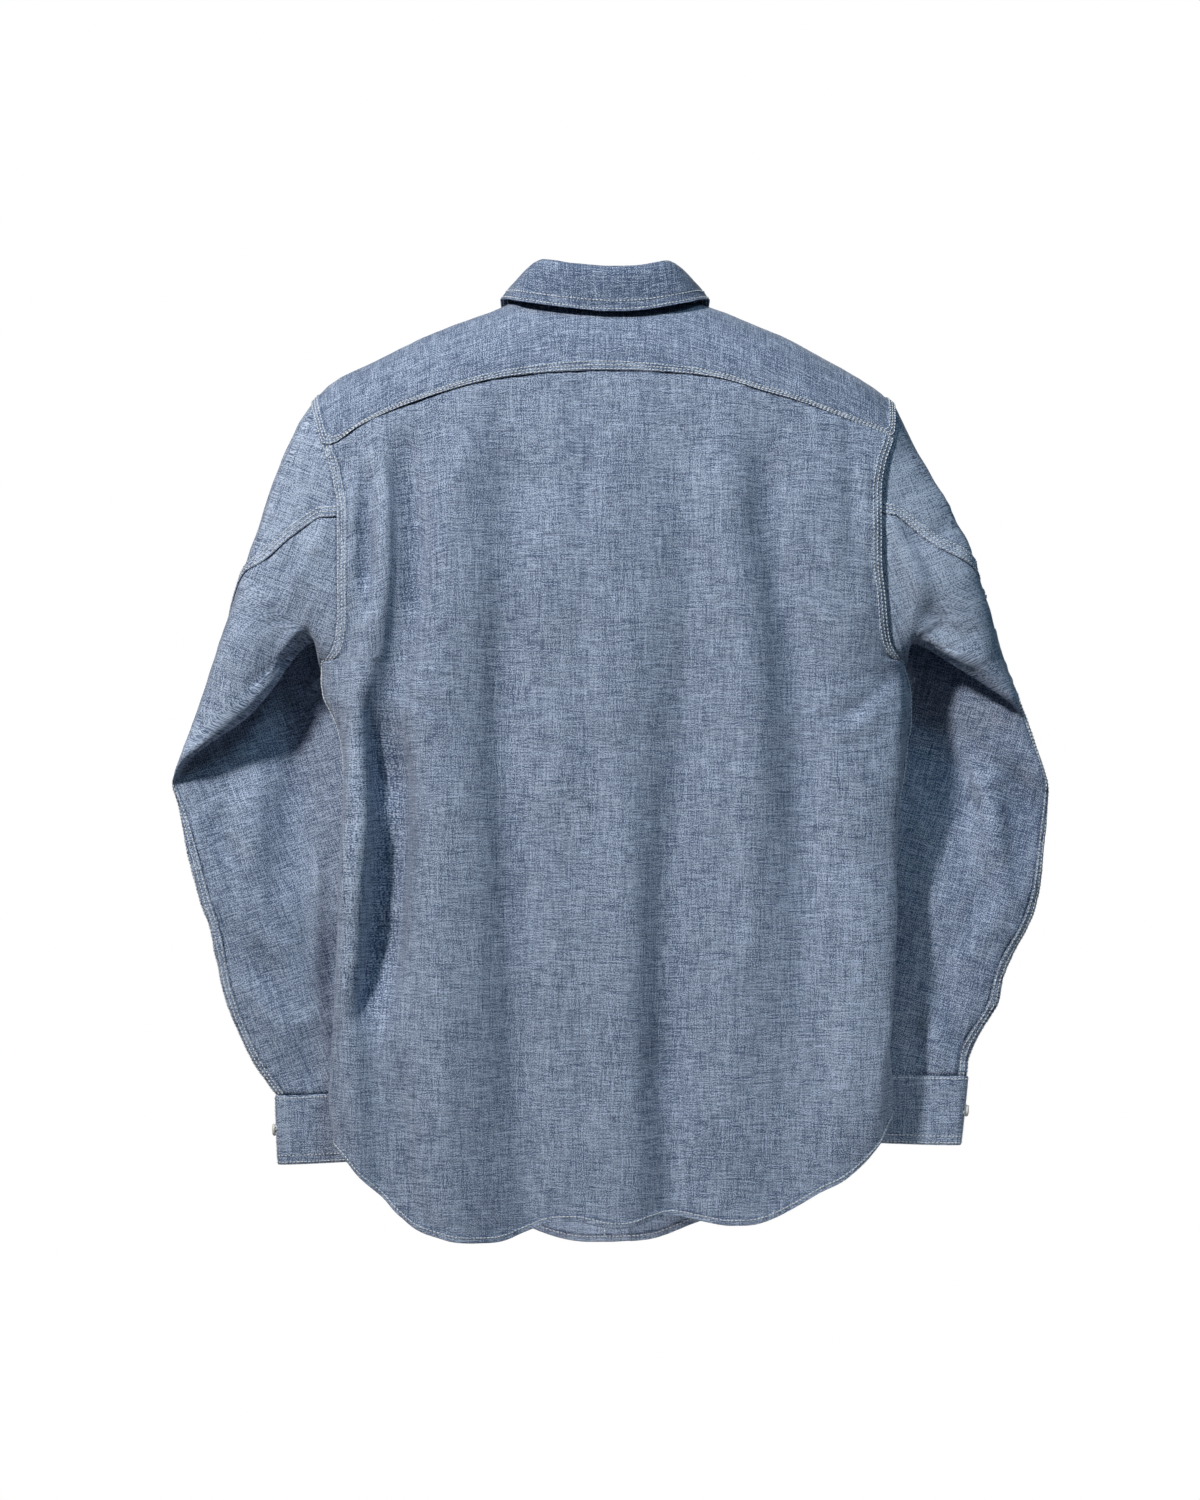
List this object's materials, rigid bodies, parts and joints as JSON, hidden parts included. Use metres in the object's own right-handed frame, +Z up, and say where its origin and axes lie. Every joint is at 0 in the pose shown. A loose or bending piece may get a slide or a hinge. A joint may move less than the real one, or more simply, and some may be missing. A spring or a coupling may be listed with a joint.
{
  "type": "chambray shirt",
  "caption": "Long-sleeved button-front shirt with a turned-down collar, back yoke, barrel cuffs and curved shirt-tail hem, hanging open and empty.",
  "frame": {"origin": "middle of the neck opening, where the shirt is held", "axes": "+Z up, the back of the shirt faces -Y and its buttoned front +Y, the wearer's left is -X"},
  "size_m": [0.7177, 0.1234, 0.8071],
  "materials": {
    "chambray": "matt plain weave of blue and pale threads",
    "button": "soft gloss"
  },
  "bodies": {
    "root": {"back": "chambray", "yoke": "chambray", "front_left": "chambray", "front_right": "chambray", "front_placket": "chambray", "collar_stand": "chambray", "collar_leaf": "chambray", "sleeve_left_top": "chambray", "sleeve_left_under": "chambray", "sleeve_right_top": "chambray", "sleeve_right_under": "chambray", "cuff_left": "chambray", "cuff_right": "chambray", "button_collar": "button", "button_front_1": "button", "button_front_2": "button", "button_front_3": "button", "button_front_4": "button", "button_front_5": "button", "button_front_6": "button", "button_cuff_left": "button", "button_cuff_right": "button"}
  },
  "joints": []
}
